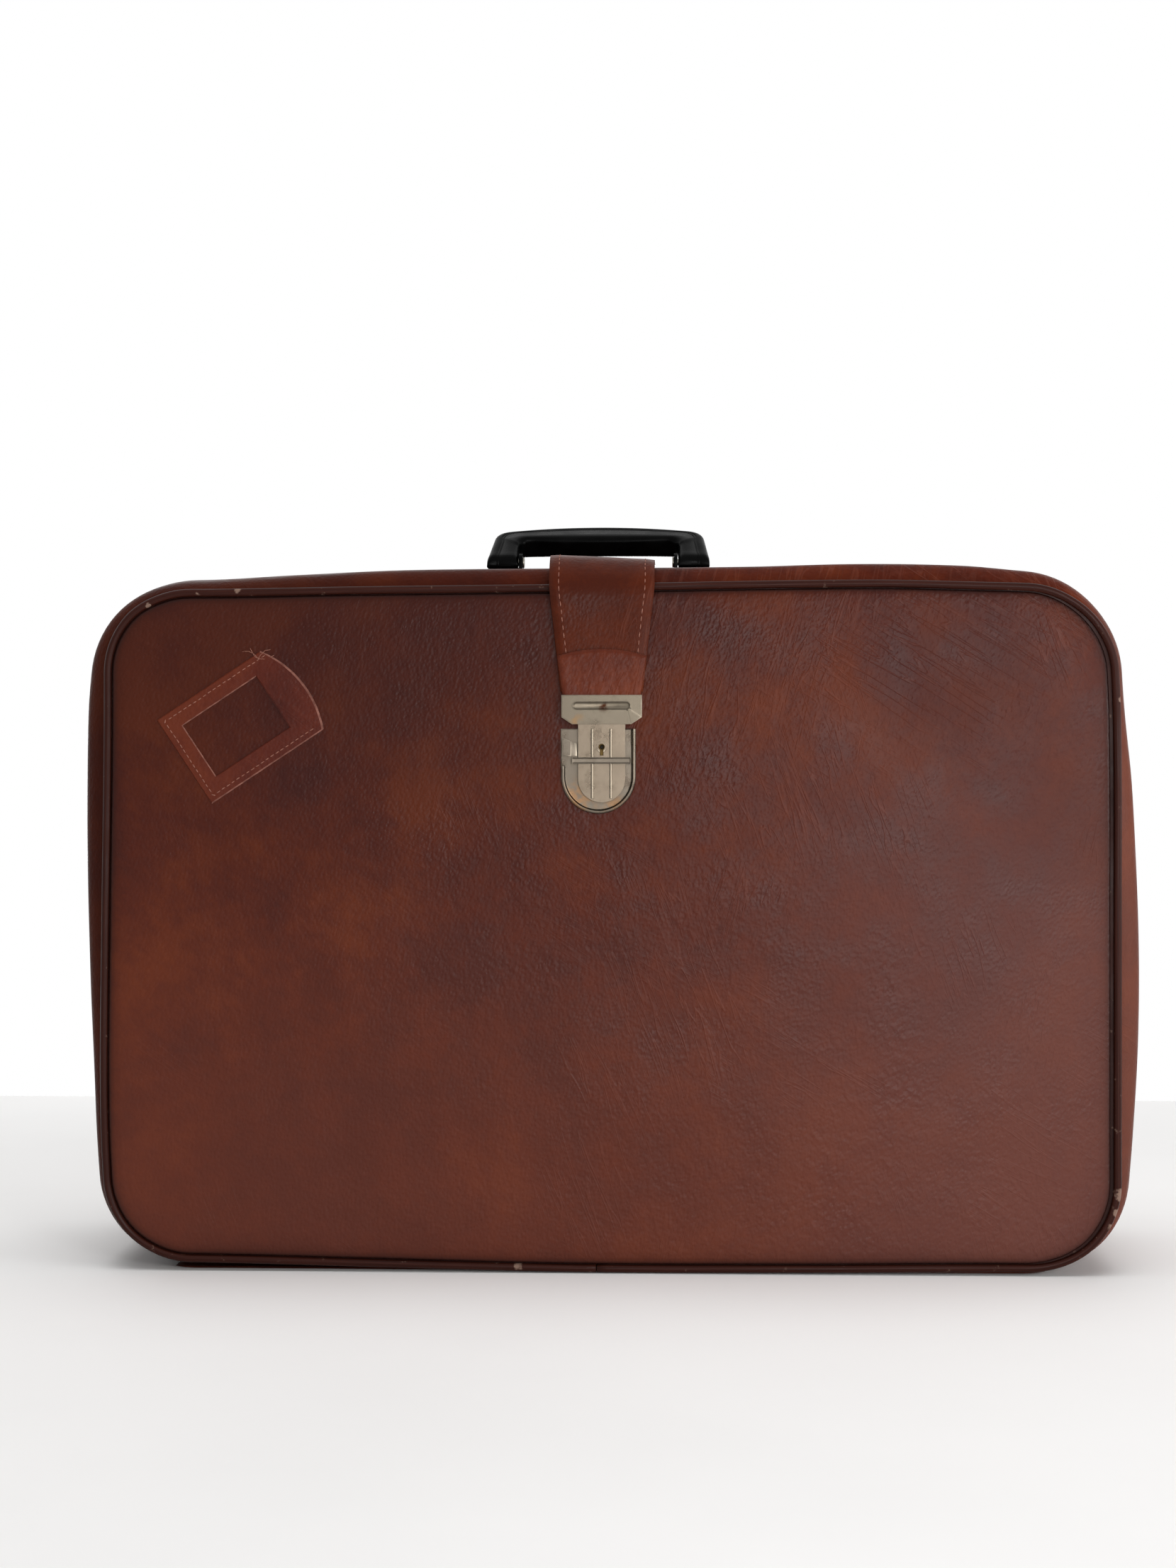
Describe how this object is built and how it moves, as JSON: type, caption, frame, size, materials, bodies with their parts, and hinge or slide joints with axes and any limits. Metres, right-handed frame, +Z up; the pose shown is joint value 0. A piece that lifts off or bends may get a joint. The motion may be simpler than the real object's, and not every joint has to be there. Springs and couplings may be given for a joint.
{
  "type": "vintage suitcase",
  "caption": "Upright leatherette travel case with rounded corners, moulded edging, a folding top handle, a label pocket and a strap with a metal hasp lock on its hinged lid.",
  "frame": {"origin": "middle of the flat face the case stands on", "axes": "+X along the width, to the right as one faces the lid; +Y from the lid to the back; +Z up"},
  "size_m": [0.606, 0.169, 0.4401],
  "materials": {
    "cover": "satin",
    "strap": "satin",
    "board": "matte",
    "lining": "matte",
    "hinge_cloth": "matte",
    "edging": "satin",
    "handle_plastic": "satin",
    "nickel": "worn nickel plate",
    "steel": "plain",
    "brass": "dull"
  },
  "bodies": {
    "case": {"band_board": "board", "band_cover": "cover", "base_sheet": "cover", "back_panel": "cover", "back_board": "board", "back_lining": "lining", "back_edging": "edging", "mouth_rim_top": "board", "mouth_rim_bottom": "board", "mouth_rim_left": "board", "mouth_rim_right": "board", "wall_lining": "lining", "floor_lining": "lining", "hinge_strip": "hinge_cloth", "handle_patch": "cover", "handle_bracket_left": "handle_plastic", "handle_bracket_right": "handle_plastic", "handle_pin_left": "steel", "handle_pin_right": "steel", "handle_rivets_left": "steel", "handle_rivets_right": "steel", "handle_backing": "steel"},
    "lid": {"lid_panel": "cover", "lid_board": "board", "lid_lining": "lining", "lid_lip": "board", "lid_edging": "edging", "label_pocket": "cover", "lock_plate": "nickel", "lock_housing": "nickel", "lock_staple": "nickel", "key_post": "steel", "lock_backing": "steel", "strap_outer": "strap", "strap_lining": "strap"},
    "handle": {"handle_grip": "handle_plastic"},
    "hasp": {"strap_tab": "strap", "hasp_plate": "nickel", "hasp_back": "nickel", "hasp_tongue": "nickel"},
    "lever": {"release_lever": "nickel"},
    "cam": {"lock_cam": "brass"}
  },
  "joints": [
    {"name": "lid_open", "type": "hinge", "parent": "case", "child": "lid", "pos_m": [0, -0.0772, 0.0033], "axis": [1, 0, 0], "range_deg": [0, 86], "deforming": ["hinge_strip"]},
    {"name": "handle_fold", "type": "hinge", "parent": "case", "child": "handle", "pos_m": [-0.0075, 0, 0.4162], "axis": [1, 0, 0], "range_deg": [0, 110]},
    {"name": "hasp_pull", "type": "slide", "parent": "lid", "child": "hasp", "axis": [0, 0, 1], "range_m": [0, 0.03], "deforming": ["strap_outer", "strap_lining"]},
    {"name": "lever_release", "type": "slide", "parent": "lid", "child": "lever", "axis": [-1, 0, 0], "range_m": [0, 0.003], "stiffness_N_per_m": 400, "springref_m": -0.001},
    {"name": "key_turn", "type": "hinge", "parent": "lid", "child": "cam", "pos_m": [-0.003, -0.082, 0.3028], "axis": [0, 1, 0], "range_deg": [0, 90]}
  ]
}
